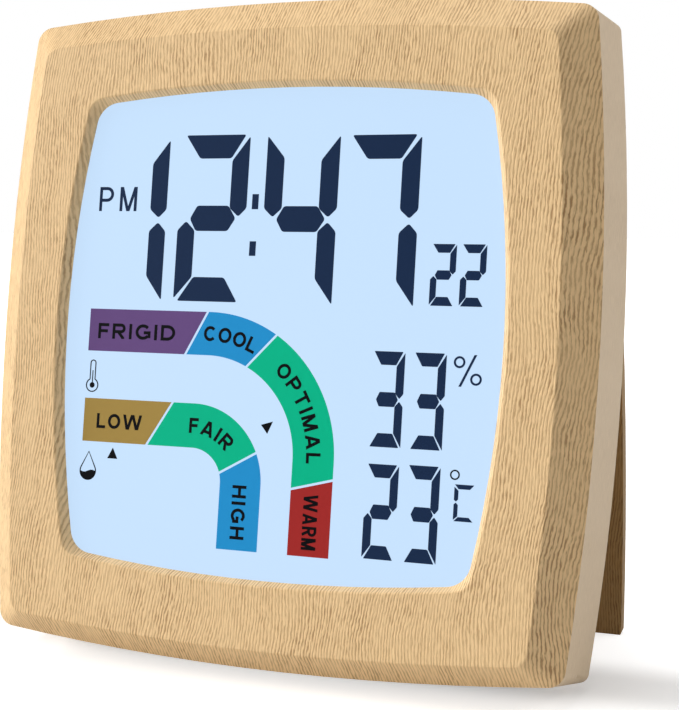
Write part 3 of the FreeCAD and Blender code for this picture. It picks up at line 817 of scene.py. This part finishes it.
def percent_sign(cx, cz, height):
    """Two small rings and a slanted bar."""
    shapes = [[(cx - 1.45, cz - height / 2), (cx - 1.0, cz - height / 2),
               (cx + 1.45, cz + height / 2), (cx + 1.0, cz + height / 2)]]
    shapes += ring(cx - 1.45, cz + height * 0.26, 0.98, 0.62, 24)
    shapes += ring(cx + 1.45, cz - height * 0.26, 0.98, 0.62, 24)
    return shapes


extrude_outlines("sign_percent", percent_sign(34.45, -5.35, 5.2), mat_digit)


# Stage, light and camera

FOOT_Y = -0.004          # the middle of the strip of floor under the case
FILL_IN_SHADOW = 0.30         # the floor's own glow that the camera sees on that strip, kept low as a painted shadow that deepens the case's real shadow
FILL_NEAR = 0.66         # and beside it
FOOT_FADE = (0.003, 0.017)
FAR_FADE = (0.16, 0.45)
AMBIENT = 0.18           # the world's light on the object
AIM = (0, 0, 0.06)       # where the lamps point


def make_floor():
    """A white floor. The camera sees a glow on it that is weakest by the foot of the case: a painted
    shadow that deepens the case's real shadow there.
    """
    bm = bmesh.new()
    bmesh.ops.create_grid(bm, x_segments=8, y_segments=8, size=3.0)
    mesh = bpy.data.meshes.new("floor")
    bm.to_mesh(mesh)
    bm.free()
    floor = bpy.data.objects.new("floor", mesh)
    bpy.context.scene.collection.objects.link(floor)
    material = bpy.data.materials.new("floor_white")
    material.use_nodes = True
    n = Nodes(material.node_tree)
    n.tree.nodes.clear()
    where = n.node("ShaderNodeTexCoord").outputs["Object"]
    length = n.node("ShaderNodeVectorMath", operation="LENGTH")
    n.link(where, length.inputs[0])
    far = n.smooth(length.outputs["Value"], *FAR_FADE, FILL_IN_SHADOW, 1.0)
    # Painted shadow: the glow dips along the strip under the case, where its real shadow falls.
    apart = n.math("ABSOLUTE", n.math("SUBTRACT", n.parts(where)["Y"], FOOT_Y))
    near = n.smooth(apart, *FOOT_FADE, FILL_IN_SHADOW, FILL_NEAR)
    rays = n.node("ShaderNodeLightPath")
    diffuse = n.node("ShaderNodeBsdfDiffuse")
    diffuse.inputs["Color"].default_value = grey(0.8)
    glow = n.node("ShaderNodeEmission")
    n.link(n.math("MULTIPLY", rays.outputs["Is Camera Ray"], n.math("MAXIMUM", far, near)),
           glow.inputs["Strength"])
    both = n.node("ShaderNodeAddShader")
    n.link(diffuse.outputs[0], both.inputs[0])
    n.link(glow.outputs[0], both.inputs[1])
    out = n.node("ShaderNodeOutputMaterial")
    n.link(both.outputs[0], out.inputs["Surface"])
    mesh.materials.append(material)


def make_world():
    """Plain white to the camera and through glass, and a low even light on the object."""
    world = bpy.data.worlds.new("studio")
    bpy.context.scene.world = world
    world.use_nodes = True
    n = Nodes(world.node_tree)
    back = next(node for node in n.tree.nodes if node.type == "BACKGROUND")
    back.inputs["Color"].default_value = grey(1.0)
    rays = n.node("ShaderNodeLightPath")
    seen = n.math("MAXIMUM", rays.outputs["Is Camera Ray"], rays.outputs["Is Transmission Ray"])
    n.link(n.math("MULTIPLY_ADD", seen, 1 - AMBIENT, AMBIENT), back.inputs["Strength"])


def area_lamp(name, place, size, power):
    """A square lamp, turned to the middle of the case."""
    lamp = bpy.data.lights.new(name, "AREA")
    lamp.energy = power
    lamp.size = size
    lit = bpy.data.objects.new(name, lamp)
    lit.location = place
    lit.rotation_euler = (Vector(AIM) - Vector(place)).to_track_quat("-Z", "Y").to_euler()
    bpy.context.scene.collection.objects.link(lit)


make_floor()
make_world()
area_lamp("key_left", (-2.75, -0.88, 1.1), 1.2, 66.0)
area_lamp("low_left", (-0.9, -0.9, 0.25), 0.6, 4.4)
area_lamp("top", (-0.1, -0.1, 1.2), 0.8, 7.0)
area_lamp("rim_right", (0.75, 0.65, 0.35), 0.5, 3.5)

# The camera is fitted to the photo. Its place is measured from the middle of the face
EYE_RIGHT, EYE_FRONT, EYE_UP = 0.1118, 0.2436, 0.0219
EYE_WAY = (-0.3748, 0.922, -0.0977)
camera = bpy.data.cameras.new("camera")
camera.lens = 81.21
camera.sensor_width = 36.0
camera.clip_start = 0.01
camera.shift_y = 0.0017
eye = bpy.data.objects.new("camera", camera)
eye.location = Vector((EYE_RIGHT, FACE_Y - EYE_FRONT, FACE_Z + EYE_UP))
eye.rotation_euler = Vector(EYE_WAY).to_track_quat("-Z", "Y").to_euler()
bpy.context.scene.collection.objects.link(eye)
bpy.context.scene.camera = eye
bpy.context.scene.view_settings.view_transform = "Standard"
